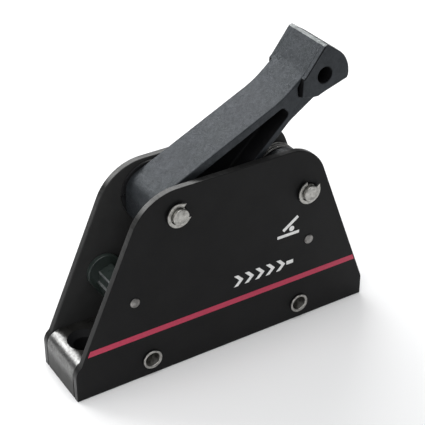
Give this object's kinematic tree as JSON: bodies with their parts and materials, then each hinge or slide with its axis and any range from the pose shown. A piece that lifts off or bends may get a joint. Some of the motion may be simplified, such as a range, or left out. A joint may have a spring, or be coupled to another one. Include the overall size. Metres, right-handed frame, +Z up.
{
  "type": "rope clutch",
  "caption": "Single lever rope clutch: two side plates on a base bar, pivoting handle, link-driven toothed cam pressing a rope onto a jaw plate.",
  "frame": {"origin": "centre of the object's footprint, on the underside of the base bar", "axes": "+X along the rope from the handle's pivot end to the cam's end, +Y across the side plates, +Z up from the deck"},
  "size_m": [0.14, 0.036, 0.1252],
  "materials": {
    "black_anodised": "satin black anodised",
    "base_anodised": "satin dark anodised",
    "slate_cast": "fine-grained dark grey cast",
    "stainless": "satin",
    "dark_plastic": "satin moulded",
    "hard_steel": "hardened, dull",
    "bronze": "sintered bearing bronze"
  },
  "bodies": {
    "frame": {"side_plate_right": "black_anodised", "side_plate_left": "black_anodised", "base_bar": "base_anodised", "jaw_plate": "hard_steel", "jaw_screw_front": "hard_steel", "jaw_screw_rear": "hard_steel", "cross_tube_front": "stainless", "cross_tube_rear": "stainless", "rope_guide_front": "dark_plastic", "rope_guide_rear": "dark_plastic", "guide_rivet_front": "stainless", "guide_rivet_rear": "stainless", "handle_pin": "stainless", "handle_pin_clip_right": "stainless", "handle_pin_clip_left": "stainless", "cam_pin": "stainless", "cam_pin_clip_right": "stainless", "cam_pin_clip_left": "stainless", "handle_pad_right": "dark_plastic", "handle_pad_left": "dark_plastic", "cam_washer_right": "dark_plastic", "cam_washer_left": "dark_plastic", "torsion_spring": "stainless"},
    "handle": {"handle": "slate_cast", "handle_bush": "bronze", "link_pin_upper": "hard_steel"},
    "link": {"link": "hard_steel", "link_pin_lower": "hard_steel"},
    "cam": {"cam": "slate_cast", "cam_shoe": "hard_steel", "cam_bush": "bronze"}
  },
  "joints": [
    {"name": "handle_hinge", "type": "hinge", "parent": "frame", "child": "handle", "pos_m": [-0.0229, 0, 0.0727], "axis": [0, 1, 0], "range_deg": [-62, 20]},
    {"name": "link_hinge", "type": "hinge", "parent": "handle", "child": "link", "pos_m": [-0.0104, 0, 0.0724], "axis": [0, 1, 0], "range_deg": [-20.5, 62.5]},
    {"name": "cam_hinge", "type": "hinge", "parent": "frame", "child": "cam", "pos_m": [0.0384, 0, 0.0633], "axis": [0, 1, 0], "range_deg": [-5.5, 17], "deforming": ["torsion_spring"]}
  ],
  "couplings": [
    {"joint": "link_hinge", "follows": "handle_hinge", "ratio": -1},
    {"joint": "cam_hinge", "follows": "handle_hinge", "ratio": -0.27}
  ]
}
